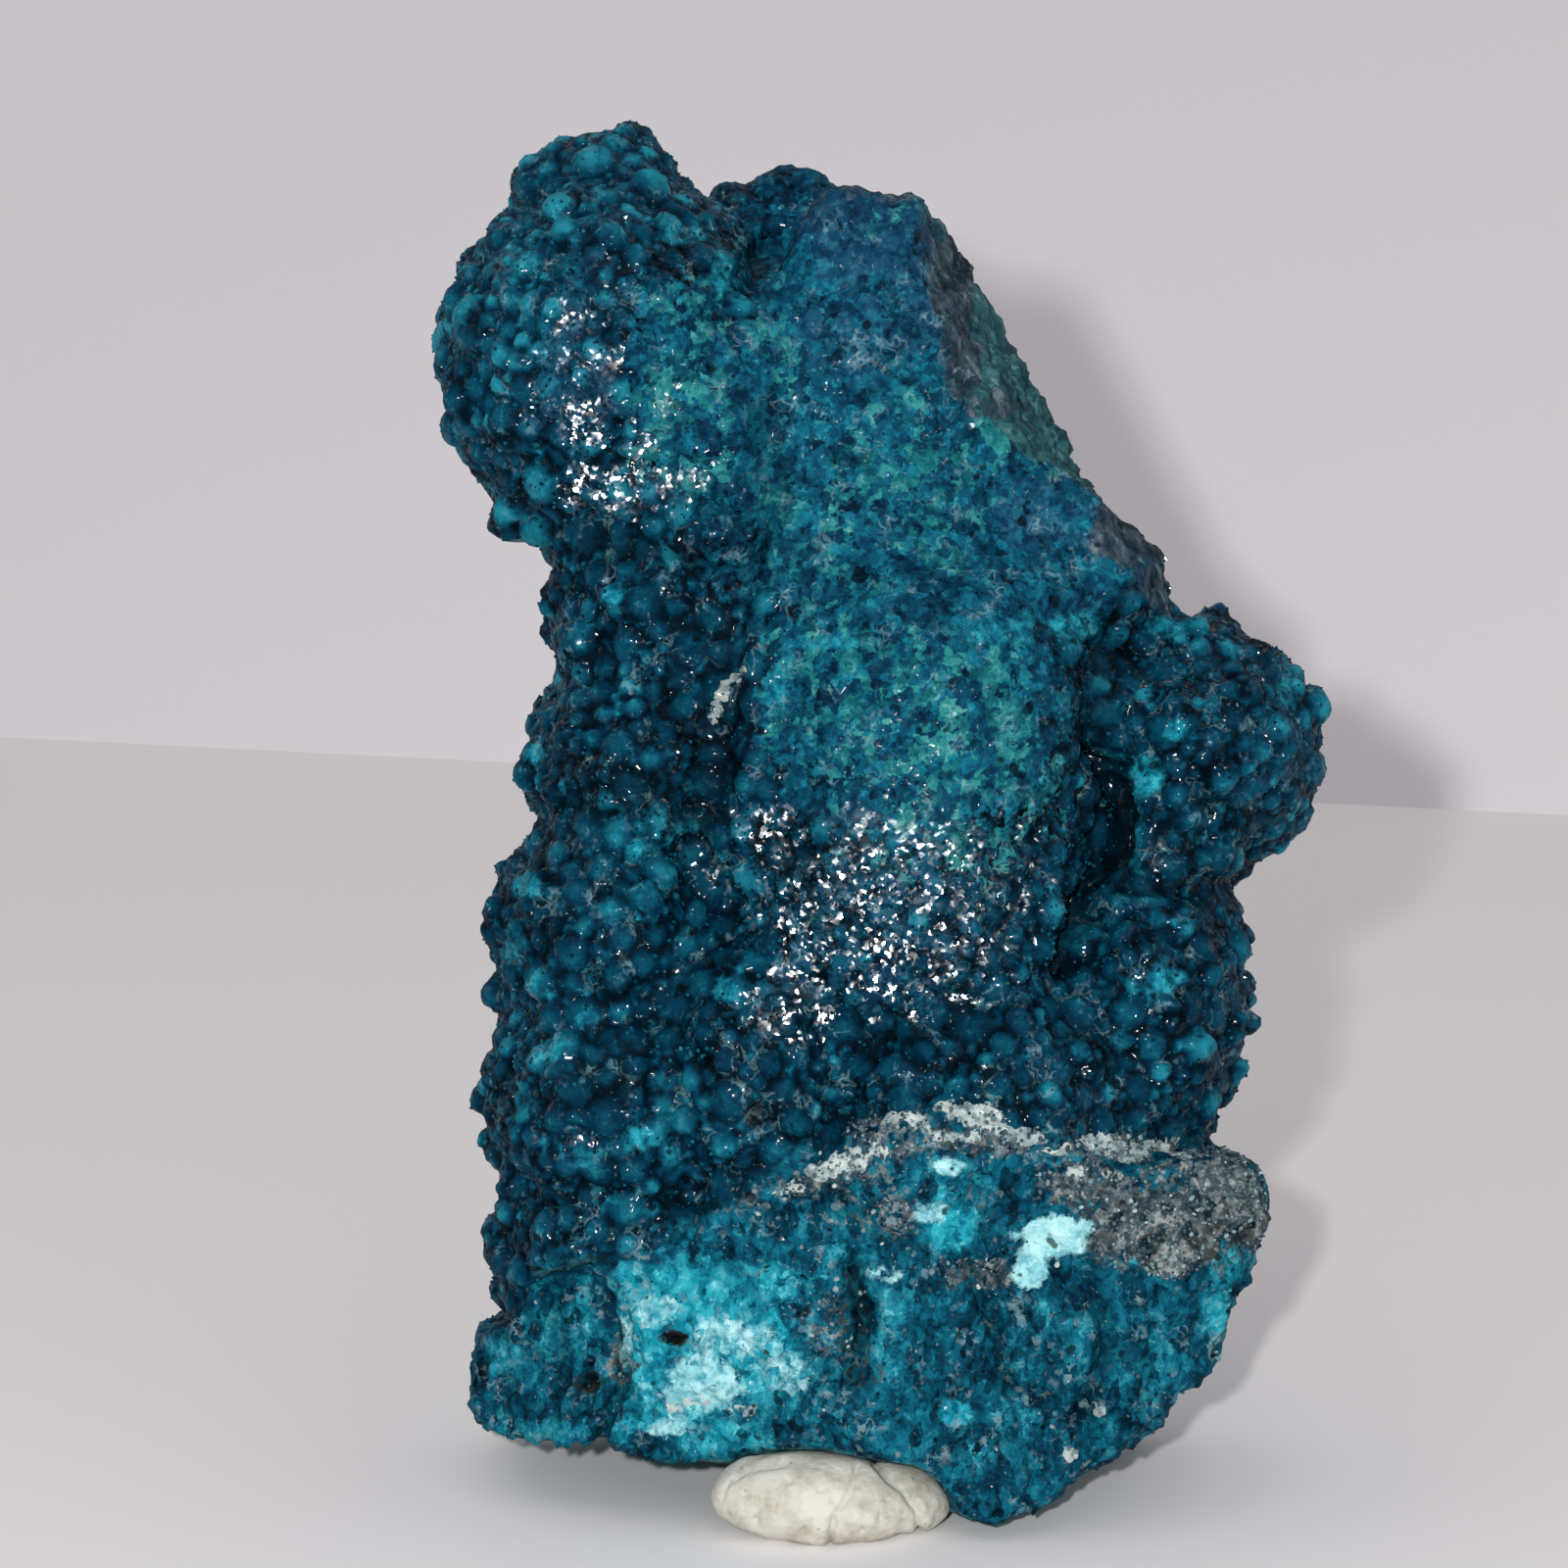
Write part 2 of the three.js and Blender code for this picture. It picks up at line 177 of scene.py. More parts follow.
# The stone's zones, placed on the photo as soft ovals: centre across and down, half width and half height in
# pixels, and strength
zones = {
    "granular": [
        (700, 390, 80, 130, 0.85), (870, 300, 130, 150, 1), (960, 430, 130, 150, 1), (950, 560, 200, 130, 1),
        (930, 720, 180, 170, 1), (1090, 560, 90, 80, 0.9), (800, 470, 90, 120, 0.9), (760, 560, 60, 80, 0.6),
    ],
    "druse": [
        (920, 925, 160, 110, 1), (585, 390, 60, 80, 1), (640, 500, 100, 36, 0.95), (1050, 870, 60, 70, 0.85),
        (810, 1030, 60, 50, 0.95), (610, 300, 45, 50, 0.9), (1040, 960, 60, 60, 0.65), (640, 430, 60, 50, 0.7),
        (580, 1165, 40, 20, 0.6), (560, 1150, 24, 24, 0.7), (1190, 870, 40, 20, 0.6), (1180, 690, 40, 30, 0.6),
        (700, 860, 60, 60, 0.45), (1080, 610, 60, 30, 0.5), (800, 850, 60, 36, 0.85), (880, 840, 60, 24, 0.7),
        (790, 940, 50, 50, 0.7), (900, 1020, 110, 30, 0.75), (970, 850, 50, 30, 0.7),
    ],
    "green": [
        (705, 330, 60, 60, 0.38), (690, 420, 60, 90, 0.46), (700, 470, 70, 50, 0.46), (930, 740, 170, 130, 0.4),
        (850, 690, 90, 90, 0.42), (980, 440, 120, 90, 0.36), (880, 560, 150, 90, 0.34),
        (1040, 425, 50, 50, 0.6), (960, 860, 130, 50, 0.42), (1030, 800, 80, 80, 0.38), (900, 225, 60, 30, 0.3),
        (1210, 1420, 60, 60, 0.6), (910, 500, 150, 60, 0.38), (800, 360, 50, 60, 0.33),
        (1080, 460, 50, 40, 0.42),
    ],
    "light": [
        (530, 290, 110, 150, 0.9), (600, 190, 110, 80, 0.9), (800, 200, 90, 50, 0.6), (1150, 900, 40, 60, 0.5),
        (560, 1040, 70, 80, 0.5), (620, 1150, 110, 60, 0.4), (1310, 760, 40, 90, 0.6), (650, 870, 80, 50, 0.5),
    ],
    "blueTop": [
        (890, 235, 90, 60, 0.9), (950, 290, 40, 90, 0.6), (860, 330, 70, 60, 0.5), (900, 960, 140, 90, 0.4),
        (590, 400, 60, 90, 0.5), (1060, 520, 80, 50, 0.5), (860, 830, 60, 40, 0.3),
    ],
    "turquoise": [
        (700, 1340, 80, 60, 0.8), (690, 1410, 70, 55, 0.8), (770, 1380, 60, 70, 0.66),
        (760, 1310, 90, 26, 0.66), (966, 1245, 34, 38, 0.85), (510, 1375, 24, 36, 0.5),
        (590, 1350, 16, 50, 0.45), (870, 1290, 40, 24, 0.38), (1060, 1350, 50, 36, 0.24),
        (975, 1440, 17, 17, 1), (1240, 1330, 18, 40, 0.7), (540, 1462, 60, 16, 0.45), (640, 1310, 30, 24, 0.6),
        (850, 1400, 30, 50, 0.34), (930, 1320, 30, 30, 0.3), (1030, 1440, 30, 30, 0.25),
        (1000, 1480, 60, 20, 0.3), (740, 1470, 60, 20, 0.6), (1180, 1410, 40, 24, 0.28),
        (905, 1370, 16, 40, 0.45), (640, 1440, 16, 40, 0.5), (1255, 1290, 30, 20, 0.4),
    ],
    "pale": [
        (715, 1412, 56, 34, 0.66), (745, 1365, 56, 26, 0.5), (1075, 1258, 40, 26, 1), (1052, 1290, 20, 28, 0.9),
        (1105, 1250, 14, 12, 0.8), (967, 1190, 17, 12, 0.9), (952, 1236, 20, 16, 0.55),
        (670, 1335, 30, 20, 0.5), (1240, 1390, 18, 36, 0.4), (800, 1400, 40, 26, 0.42),
        (640, 1370, 12, 34, 0.55), (905, 1300, 26, 12, 0.45), (690, 1455, 30, 14, 0.5),
    ],
    "grey": [
        (1180, 1250, 100, 44, 0.9), (1250, 1225, 44, 56, 0.9), (1110, 1210, 60, 30, 0.7),
        (1010, 1165, 60, 18, 0.6), (930, 1160, 60, 24, 0.5), (870, 1195, 50, 20, 0.5), (820, 1210, 30, 14, 0.5),
        (1130, 1170, 60, 14, 0.6), (900, 1240, 50, 34, 0.42), (1000, 1300, 60, 20, 0.5),
        (845, 1350, 30, 40, 0.4), (632, 1385, 14, 40, 0.5), (1200, 1200, 60, 20, 0.5), (770, 1230, 30, 14, 0.4),
    ],
    "slate": [
        (972, 300, 24, 100, 0.9), (985, 375, 20, 34, 0.9), (1015, 415, 34, 16, 0.7), (1150, 545, 44, 36, 0.9),
        (1185, 590, 24, 44, 0.8), (900, 195, 60, 12, 0.5),
    ],
    "white": [
        (1005, 1140, 26, 14, 0.9), (1045, 1160, 24, 12, 0.8), (975, 1130, 22, 10, 0.8),
        (940, 1150, 18, 10, 0.6), (868, 1182, 20, 12, 0.9), (832, 1196, 22, 12, 0.9), (815, 1210, 12, 8, 0.8),
        (1120, 1164, 24, 10, 0.8), (1180, 1168, 34, 7, 0.7), (990, 1160, 14, 8, 0.7), (1140, 1200, 18, 9, 0.5),
        (905, 1175, 14, 8, 0.5), (1123, 1433, 8, 7, 1), (1090, 1483, 9, 9, 1), (756, 684, 8, 6, 1),
        (747, 689, 8, 6, 1), (739, 698, 7, 7, 1), (733, 708, 5, 8, 1), (727, 719, 4.5, 8, 1),
        (722, 731, 4, 7, 0.9), (1175, 1225, 16, 8, 0.4), (922, 1142, 20, 9, 0.8), (960, 1160, 18, 9, 0.6),
        (1075, 1172, 18, 8, 0.7), (850, 1192, 14, 9, 0.8), (1150, 1172, 26, 8, 0.7), (1020, 1152, 16, 10, 0.9),
        (890, 1170, 12, 8, 0.6), (800, 1218, 14, 8, 0.5), (1100, 1195, 22, 8, 0.5), (1210, 1180, 24, 7, 0.5),
        (700, 1430, 26, 12, 0.5), (760, 1440, 22, 10, 0.4),
    ],
    "brown": [
        (600, 1412, 24, 14, 0.7), (690, 1365, 18, 11, 1), (870, 1340, 24, 44, 0.4), (1235, 1265, 50, 34, 0.5),
        (640, 1390, 14, 12, 0.7), (770, 1140, 14, 14, 0.8), (1120, 1250, 30, 22, 0.45),
        (850, 1210, 20, 14, 0.5), (1000, 1230, 20, 20, 0.35), (880, 1400, 30, 20, 0.4),
    ],
    "bright": [
        (627, 607, 13, 13, 1), (560, 690, 12, 12, 0.9), (650, 1160, 16, 15, 0.8), (740, 1010, 14, 12, 0.6),
        (1166, 792, 22, 22, 0.9), (1200, 745, 12, 12, 0.9), (1188, 1000, 20, 18, 0.6), (545, 770, 12, 12, 0.6),
        (620, 930, 14, 12, 0.6), (540, 905, 14, 14, 0.7), (560, 1075, 18, 12, 0.6), (1190, 640, 24, 12, 0.6),
        (840, 655, 40, 9, 0.7), (790, 700, 12, 30, 0.6), (1010, 640, 60, 18, 0.5), (1100, 640, 36, 16, 0.5),
        (520, 970, 12, 14, 0.6), (700, 240, 26, 10, 0.5), (735, 270, 12, 36, 0.5), (655, 865, 16, 12, 0.6),
        (700, 850, 14, 10, 0.5), (600, 1040, 14, 12, 0.5), (550, 1000, 12, 12, 0.5), (1310, 700, 14, 30, 0.5),
        (1160, 860, 12, 30, 0.4), (530, 270, 20, 14, 0.4), (770, 420, 14, 12, 0.5), (600, 1180, 20, 14, 0.4),
    ],
}
# The upper edge of the broken base, across the photo
baseEdge = [(470, 1385), (515, 1350), (560, 1290), (640, 1265), (700, 1235), (800, 1195), (870, 1150),
            (950, 1120), (1000, 1135), (1100, 1160), (1200, 1170), (1300, 1180)]
# Where the slab's face turns into its broken side: how far down the photo, how far across
slabEdge = [(190, 948), (215, 952), (260, 957), (300, 958), (340, 966), (375, 974), (400, 990), (430, 1012),
            (460, 1045), (485, 1085), (505, 1112)]
# Creases, each a line on the photo, its half width in pixels and its depth in mm; each is also darkened in colour as
# painted shade. First the crack between the dome and the right lobes, then the valleys beside the dome, the foot of
# the head and clefts in the broken base
creases = [
    ([(1130, 770), (1146, 830), (1142, 868), (1112, 905), (1102, 940), (1085, 985)], 9, 1.3),
    ([(1125, 660), (1118, 720), (1130, 780)], 16, 0.5),
    ([(1150, 900), (1210, 905), (1268, 905)], 14, 0.5),
    ([(785, 420), (775, 520), (755, 600), (738, 700), (722, 800), (705, 880)], 20, 0.45),
    ([(560, 540), (640, 560), (720, 560), (770, 530)], 18, 0.4),
    ([(560, 830), (620, 800), (690, 830)], 16, 0.3),
    ([(520, 1130), (600, 1110), (680, 1120)], 16, 0.25),
    ([(870, 1300), (882, 1350), (872, 1400)], 8, 0.7),
    ([(610, 1310), (640, 1400), (612, 1470)], 7, 0.5),
    ([(985, 1290), (1015, 1350), (1030, 1420)], 8, 0.5),
    ([(1110, 1300), (1130, 1380), (1100, 1450)], 8, 0.45),
    ([(820, 1200), (900, 1260), (1010, 1300)], 8, 0.35),
    ([(505, 1330), (520, 1400), (515, 1460)], 6, 0.4),
    ([(560, 1320), (575, 1400), (560, 1470)], 6, 0.4),
]
# Small holes: across, down and radius in pixels; each is also darkened in colour as painted shade
pits = [(937, 338, 6), (888, 400, 6), (775, 1137, 12), (690, 1366, 10), (600, 1412, 9), (851, 470, 5),
        (668, 205, 8), (772, 256, 9), (778, 272, 9), (770, 284, 7), (880, 1345, 14)]
# Where the crust stands out further at the stone's outline, and where the foot keeps clear of the putty
fullerCrust = [(500, 330, 60, 200, 1), (1330, 720, 60, 110, 1)]
puttySeat = [(835, 1530, 150, 75, 1), (925, 1530, 90, 60, 1)]

# Sizes in mm
stoneForm = {
    "softenVoxel": 0.42,        # the solid's facets melt at this size
    "softenSteps": 7,
    "fineVoxel": 0.175,
    # smallest and largest radius, and the share of places that is tried
    "beadPasses": [(0.70, 0.86, 0.002), (0.52, 0.70, 0.02), (0.36, 0.52, 0.22), (0.18, 0.32, 1.0)],
    "largestInGrains": 0.36,    # beads on the granular slab and dome stay small
    "largestInDruse": 0.6,
    "beadSpacing": 0.82,        # share of the sum of two neighbours' radii
    "beadWobble": 0.24,         # how far a bead is from round
    "beadHeight": 0.72,
    "beadSink": 0.28,           # share of a bead's radius that is sunk in its neighbours
    "beadSeed": 11,
    "crustSink": 0.12,          # the skin between the beads lies this far in, so that the outline stays
    "fuller": 0.24,             # and this far out, where the crust is fuller
    "sideFoot": (36.4, 37.0),   # the slab's broken side fades in between these heights on the face
    "pitDepth": 0.055,          # for each pixel of a pit's radius
    "mostFaces": 196000,
}


# Beads in passes from large to small, so that small ones fill the gaps between the large
def scatterBeads(points, granular, druse, bare):
    rng = np.random.default_rng(stoneForm["beadSeed"])
    cell = 2.0  # wider than two of the largest beads reach
    spacing = stoneForm["beadSpacing"]
    taken = {}
    beads = []
    order = rng.permutation(len(points))
    for low, high, tries in stoneForm["beadPasses"]:
        for i in order[rng.random(len(order)) < tries]:
            if bare[i] > 0.5:
                continue
            radius = low + (high - low) * rng.random()
            if radius > stoneForm["largestInGrains"] and granular[i] > 0.45:
                continue
            if radius > stoneForm["largestInDruse"] and druse[i] > 0.7:
                continue
            p = points[i]
            key = tuple(int(c) for c in np.floor(p / cell))
            near = [b for dx in (-1, 0, 1) for dy in (-1, 0, 1) for dz in (-1, 0, 1)
                    for b in taken.get((key[0] + dx, key[1] + dy, key[2] + dz), ())]
            if any((p[0] - b[0]) ** 2 + (p[1] - b[1]) ** 2 + (p[2] - b[2]) ** 2 < (spacing * (radius + b[3])) ** 2
                   for b in near):
                continue
            bead = (p[0], p[1], p[2], radius, rng.random())
            taken.setdefault(key, []).append(bead)
            beads.append(bead)
    return np.array(beads)


# How high each point stands on its bead in mm, how near the bead's top it is from 0 to 1, and the bead's own tone
def beadRelief(points, beads, wobble):
    tree = KDTree(len(beads))
    for i, bead in enumerate(beads):
        tree.insert(bead[:3], i)
    tree.balance()
    height = np.zeros(len(points))
    top = np.zeros(len(points))
    tone = np.full(len(points), 0.5)
    for i, p in enumerate(points):
        for _, index, away in tree.find_n(p, 5):
            radius = beads[index][3] * (1 + stoneForm["beadWobble"] * wobble[i])
            if away >= radius:
                continue
            rise = math.sqrt(radius * radius - away * away) - stoneForm["beadSink"] * radius
            proud = 0.55 + 0.6 * beads[index][4]  # the paler beads stand higher
            rise *= proud
            if rise > height[i]:
                height[i] = rise
                top[i] = rise / radius / (1 - stoneForm["beadSink"]) / proud
                tone[i] = beads[index][4]
    return height, top, tone


def buildStone():
    stone = copyOfNode("malachite_stone", "stone_skin")
    applyModifiers(
        stone,
        ("REMESH", {"mode": "VOXEL", "voxel_size": stoneForm["softenVoxel"]}),
        ("SMOOTH", {"factor": 0.5, "iterations": stoneForm["softenSteps"]}),
        ("REMESH", {"mode": "VOXEL", "voxel_size": stoneForm["fineVoxel"]}),
        ("SMOOTH", {"factor": 0.5, "iterations": 3}),
    )
    mesh = stone.data
    points = pointsOf(mesh)
    normals = normalsOf(mesh)
    faced = toFace(points * mm)
    pixels = toPixels(faced)
    facing = toFace((points + normals) * mm) - faced
    print("fine skin", len(points), "points")

    ragged = 0.28 * noiseAt(points, 1.1, 1) + 0.16 * noiseAt(points, 0.4, 2)
    front = smoothStep(0.35, -0.1, facing[:, 1])
    masks = {name: ovals(pixels, places, ragged) * front for name, places in zones.items()}

    edgeX, edgeY = np.array(baseEdge, float).T
    belowEdge = pixels[:, 1] - np.interp(pixels[:, 0], edgeX, edgeY) + 26 * noiseAt(points, 1.6, 3)
    broken = smoothStep(-6, 14, belowEdge) * np.maximum(front, smoothStep(10.5, 8.5, faced[:, 2]))
    back = smoothStep(0.25, 0.65, facing[:, 1]) * smoothStep(2.0, 4.0, faced[:, 1])
    underside = smoothStep(-0.75, -0.9, normals[:, 2])
    edgeDown, edgeAcross = np.array(slabEdge, float).T
    besideEdge = pixels[:, 0] - np.interp(pixels[:, 1], edgeDown, edgeAcross)
    slabSide = smoothStep(-3, 3, besideEdge + 4 * noiseAt(points, 0.9, 17))
    slabSide *= smoothStep(*stoneForm["sideFoot"], faced[:, 2])
    bare = np.maximum.reduce([broken, back, underside, slabSide, 0.7 * masks["grey"]])
    granular = np.maximum(masks["granular"], 0)

    beads = scatterBeads(points, granular, masks["druse"], bare)
    print("beads", len(beads))
    wobble = noiseAt(points, 0.55, 4)
    height, top, tone = beadRelief(points, beads, wobble)
    crust = 1 - np.clip(bare * 1.6, 0, 1)
    lift = (stoneForm["beadHeight"] * height - stoneForm["crustSink"]) * crust * (1 - 0.45 * np.clip(granular, 0, 1))
    lift += stoneForm["fuller"] * np.maximum(masks["light"], ovals(pixels, fullerCrust, 0)) * crust

    # Broken faces: blocky steps, short ridges that run down to the right, and a crumbly surface
    streak = faced @ np.array([[0.9, 0.1, 0.35], [0.1, 1.0, 0.0], [-0.35, 0.0, 0.45]])
    blocks = np.round(2.4 * noiseAt(points, 2.6, 5) + 0.8 * noiseAt(points, 0.9, 6)) / 2.4
    ridges = 1 - 2 * np.abs(noiseAt(streak, 0.9, 7))
    crumbs = noiseAt(points, 0.38, 8)
    rough = 0.42 * blocks + 0.20 * ridges + 0.15 * crumbs
    ledges = np.round(besideEdge / 9 + 1.6 * noiseAt(points, 3.0, 18)) % 2 - 0.5 + noiseAt(points, 1.2, 19)
    lift += broken * rough + slabSide * (0.16 * ledges + 0.35 * rough)
    steps = np.round(2.2 * noiseAt(points, 6.0, 23) + 0.5 * noiseAt(points, 1.6, 26)) / 2.2
    lift += back * (0.6 * blocks + steps + 0.24 * ridges + 0.14 * crumbs)
    lift += 0.10 * noiseAt(points, 0.32, 9) + 0.12 * noiseAt(points, 0.75, 14) + 0.12 * noiseAt(points, 1.8, 10)

    # Painted shade: the creases and pits are also darkened in colour, as the shade that falls in these hollows
    paintedHollowShade = np.zeros(len(points))
    for line, width, depth in creases:
        near = nearLine(pixels, line) + 5 * noiseAt(points, 0.8, 15)
        lift -= depth * front * np.exp(-(near / width) ** 2)
        paintedHollowShade = np.maximum(paintedHollowShade, min(depth, 1) * front * np.exp(-(near / width / 1.3) ** 2))
    for x, y, size in pits:
        away = np.hypot(pixels[:, 0] - x, pixels[:, 1] - y)
        lift -= stoneForm["pitDepth"] * size * front * np.exp(-(away / size) ** 2)
        paintedHollowShade = np.maximum(paintedHollowShade, front * np.exp(-(away / size) ** 2))
    lift[underside > 0.4] = 0
    lift *= 1 - 0.9 * ovals(pixels, puttySeat, 0)
    moved = points + normals * lift[:, None]
    moved[:, 2] = np.maximum(moved[:, 2], 0.0)
    setPoints(mesh, moved)

    # Fewer faces where the skin is plain, and every point that is left takes the values of the nearest one before
    tree = KDTree(len(moved))
    for i, p in enumerate(moved):
        tree.insert(p, i)
    tree.balance()
    ratio = min(1, stoneForm["mostFaces"] / (2 * len(mesh.polygons)))
    applyModifiers(stone, ("DECIMATE", {"decimate_type": "COLLAPSE", "ratio": ratio}))
    mesh = stone.data
    kept = np.array([tree.find(p)[1] for p in pointsOf(mesh)])
    values = {
        # beadTop also paints the shade in the gaps between beads and the rim reflections at their feet
        "beadTop": top * crust,
        "beadTone": tone,
        "granular": granular,
        "turquoise": masks["turquoise"] * np.maximum(broken, 0.3),
        "pale": np.maximum(masks["pale"], back * (0.75 * noiseAt(streak, 3.0, 25)
                                                  + 0.55 * noiseAt(points, 0.8, 27))),
        "brown": np.maximum(masks["brown"], back * (0.34 + 0.45 * noiseAt(streak, 3.6, 24)
                                                    + 0.5 * noiseAt(points, 0.9, 28))),
        "broken": broken,
        "back": np.maximum(back, underside),
        "slabSide": slabSide,
        "paintedHollowShade": paintedHollowShade,
    }
    for name in ("druse", "green", "bright", "white", "grey", "blueTop", "slate", "light"):
        values[name] = masks[name]
    for name, value in values.items():
        setAttribute(mesh, name, value[kept])
    mesh.transform(Matrix.Scale(mm, 4))
    mesh.shade_smooth()
    print("stone skin", len(mesh.polygons), "faces")
    return stone


# Random places on a mesh's faces, as many as wanted, denser where weight is larger
def placesOn(mesh, weights, count, seed):
    rng = np.random.default_rng(seed)
    mesh.calc_loop_triangles()
    corners = np.empty(len(mesh.loop_triangles) * 3, np.int32)
    mesh.loop_triangles.foreach_get("vertices", corners)
    corners = corners.reshape(-1, 3)
    points = pointsOf(mesh) / mm
    a, b, c = (points[corners[:, k]] for k in range(3))
    cross = np.cross(b - a, c - a)
    area = np.linalg.norm(cross, axis=1) / 2
    share = area * weights[corners].mean(1)
    picked = rng.choice(len(corners), count, p=share / share.sum())
    mix = rng.dirichlet((1, 1, 1), count)
    spots = mix[:, :1] * a[picked] + mix[:, 1:2] * b[picked] + mix[:, 2:] * c[picked]
    outward = cross[picked] / (2 * area[picked, None] + 1e-12)
    return spots, outward, rng


def attributeOf(mesh, name):
    values = np.empty(len(mesh.vertices), np.float32)
    mesh.attributes[name].data.foreach_get("value", values)
    return values


# Many copies of one small closed form, joined in one mesh, each turned to its own direction
def joinedCopies(name, form, faces, spots, outward, sizes, rng):
    form = np.array(form, float)
    count = len(spots)
    helper = np.where(np.abs(outward[:, 2:]) < 0.9, [[0, 0, 1.0]], [[1.0, 0, 0]])
    side = np.cross(outward, helper)
    side /= np.linalg.norm(side, axis=1, keepdims=True)
    other = np.cross(outward, side)
    turn = rng.random(count) * 2 * math.pi
    across = side * np.cos(turn)[:, None] + other * np.sin(turn)[:, None]
    along = np.cross(outward, across)
    frames = np.stack([across, along, outward], 1)
    corners = np.einsum("vk,nk,nkj->nvj", form, sizes, frames) + spots[:, None]
    index = np.array(faces)[None] + (np.arange(count) * len(form))[:, None, None]
    mesh = bpy.data.meshes.new(name)
    mesh.from_pydata((corners.reshape(-1, 3) * mm).tolist(), [], index.reshape(-1, 3).tolist())
    mesh.update()
    made = newObject(name, mesh)
    setAttribute(mesh, "tone", np.repeat(rng.random(count), len(form)))
    return made


quartz = {
    "count": 7000,
    "width": (0.045, 0.10),   # half the width of a crystal
    "tilt": 0.4,
    "seed": 21,
}


# Tiny six-sided quartz points that stand on the crust
def buildQuartz(stone):
    mesh = stone.data
    weight = (0.25 + attributeOf(mesh, "druse")) * (1 - np.clip(attributeOf(mesh, "granular") * 1.3, 0, 0.97))
    rough = np.maximum.reduce([attributeOf(mesh, name) for name in ("back", "broken", "slabSide")])
    weight *= 1 - np.clip(rough * 0.95, 0, 0.97)
    spots, outward, rng = placesOn(mesh, weight, quartz["count"], quartz["seed"])
    leaning = outward + quartz["tilt"] * rng.normal(size=outward.shape)
    leaning /= np.linalg.norm(leaning, axis=1, keepdims=True)
    low, high = quartz["width"]
    width = low + (high - low) * rng.random(len(spots)) ** 2
    sizes = np.stack([width, width, width * (0.9 + 0.6 * rng.random(len(spots)))], 1)
    ring = [(math.cos(k * math.pi / 3), math.sin(k * math.pi / 3), 0.0) for k in range(6)]
    form = ring + [(0, 0, 1.0), (0, 0, -0.8)]
    faces = [(k, (k + 1) % 6, 6) for k in range(6)] + [((k + 1) % 6, k, 7) for k in range(6)]
    made = joinedCopies("quartz_points", form, faces, spots, leaning, sizes, rng)
    print("quartz points", quartz["count"])
    return made


grains = {
    "count": 3000,
    "width": (0.035, 0.11),
    "seed": 31,
}


# Crumbs of pale and grey mineral on the broken base and along its upper edge
def buildGrains(stone):
    mesh = stone.data
    weight = 0.02 * attributeOf(mesh, "broken") + attributeOf(mesh, "grey") + 0.6 * attributeOf(mesh, "white")
    weight *= 1 - np.clip(attributeOf(mesh, "pale") + attributeOf(mesh, "turquoise"), 0, 1)
    weight *= 1 - np.clip(np.maximum(attributeOf(mesh, "back"), attributeOf(mesh, "slabSide")), 0, 0.95)
    spots, outward, rng = placesOn(mesh, weight, grains["count"], grains["seed"])
    low, high = grains["width"]
    width = low + (high - low) * rng.random(len(spots)) ** 2
    sizes = width[:, None] * (0.6 + 0.8 * rng.random((len(spots), 3)))
    golden = (1 + math.sqrt(5)) / 2
    form = [(-1, golden, 0), (1, golden, 0), (-1, -golden, 0), (1, -golden, 0), (0, -1, golden), (0, 1, golden),
            (0, -1, -golden), (0, 1, -golden), (golden, 0, -1), (golden, 0, 1), (-golden, 0, -1), (-golden, 0, 1)]
    form = [tuple(c / 1.9 for c in corner) for corner in form]
    faces = [(0, 11, 5), (0, 5, 1), (0, 1, 7), (0, 7, 10), (0, 10, 11), (1, 5, 9), (5, 11, 4), (11, 10, 2),
             (10, 7, 6), (7, 1, 8), (3, 9, 4), (3, 4, 2), (3, 2, 6), (3, 6, 8), (3, 8, 9), (4, 9, 5), (2, 4, 11),
             (6, 2, 10), (8, 6, 7), (9, 8, 1)]
    made = joinedCopies("mineral_crumbs", form, faces, spots, outward, sizes, rng)
    print("crumbs", grains["count"])
    return made


puttyForm = {
    "voxel": 0.11,
    # centre and radii in mm and the tip in degrees of what is pinched off and pressed on again
    "pinches": [((-2.09, -8.0, 1.2), (3.6, 1.85, 1.48), 4), ((0.75, -7.25, 1.04), (1.66, 1.6, 1.05), 18)],
    # seam, fold and band: photo pixels, half width in pixels and depth in mm
    "lines": [
        ([(874, 1500), (868, 1522), (852, 1548), (846, 1578)], 3.4, 0.20),
        ([(893, 1498), (922, 1518), (938, 1544), (937, 1576)], 4.0, 0.24),
        ([(735, 1535), (742, 1515), (765, 1502), (800, 1495)], 3.0, 0.09),
    ],
    "pits": [(851, 1531, 4), (851, 1554, 4), (898, 1549, 4), (771, 1551, 3), (806, 1512, 2), (820, 1560, 2),
             (838, 1520, 2), (790, 1535, 2), (905, 1530, 2), (760, 1525, 2), (880, 1560, 2)],
    "pitDepth": 0.16,
    "swell": 0.04,        # smoothing shrinks the lump by this much
    "clings": 0.7,        # within this distance it is pulled towards the stone,
    "clingShare": 0.9,    # by this share of the gap at most
}


